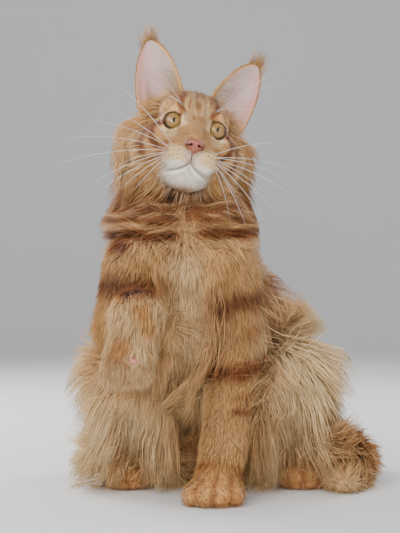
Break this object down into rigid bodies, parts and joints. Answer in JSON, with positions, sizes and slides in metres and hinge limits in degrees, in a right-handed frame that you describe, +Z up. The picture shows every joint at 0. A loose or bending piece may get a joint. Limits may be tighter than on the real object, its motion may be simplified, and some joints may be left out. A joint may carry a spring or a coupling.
{
  "type": "maine coon cat",
  "caption": "Life-size still model of a long-haired red tabby Maine Coon cat, sitting with the right forepaw raised and the tail laid round its left side.",
  "frame": {"origin": "on the floor, in the middle of the whole model's footprint box", "axes": "+Z up, -Y the way the cat faces, +X towards the cat's own left"},
  "size_m": [0.3532, 0.3668, 0.4841],
  "materials": {
    "body_coat": "long silky coat, warm red with darker mackerel bands and a cream bib",
    "face_coat": "short dense coat, red tabby with dark forehead lines and a white chin",
    "leg_coat": "medium coat, red with darker bars",
    "paw_coat": "short dense coat, orange with cream toes and pink pads",
    "breeches_coat": "long loose coat, cream orange with faint bars",
    "tail_coat": "very long loose coat, red with faint rings",
    "ear": "thin ear, short red coat behind and pale pink skin with long cream hair inside",
    "nose_leather": "moist pink skin with fine pebbling",
    "eye": "clear wet cornea over an amber and olive iris with a narrow upright pupil"
  },
  "bodies": {
    "root": {"torso": "body_coat", "neck": "body_coat", "head": "face_coat", "nose": "nose_leather", "ear_left": "ear", "ear_right": "ear", "eye_left": "eye", "eye_right": "eye", "foreleg_left": "leg_coat", "foreleg_right": "leg_coat", "forepaw_left": "paw_coat", "forepaw_right": "paw_coat", "thigh_left": "breeches_coat", "thigh_right": "breeches_coat", "hindpaw_left": "paw_coat", "hindpaw_right": "paw_coat", "tail_base": "tail_coat", "tail_middle": "tail_coat", "tail_tip": "tail_coat"}
  },
  "joints": []
}
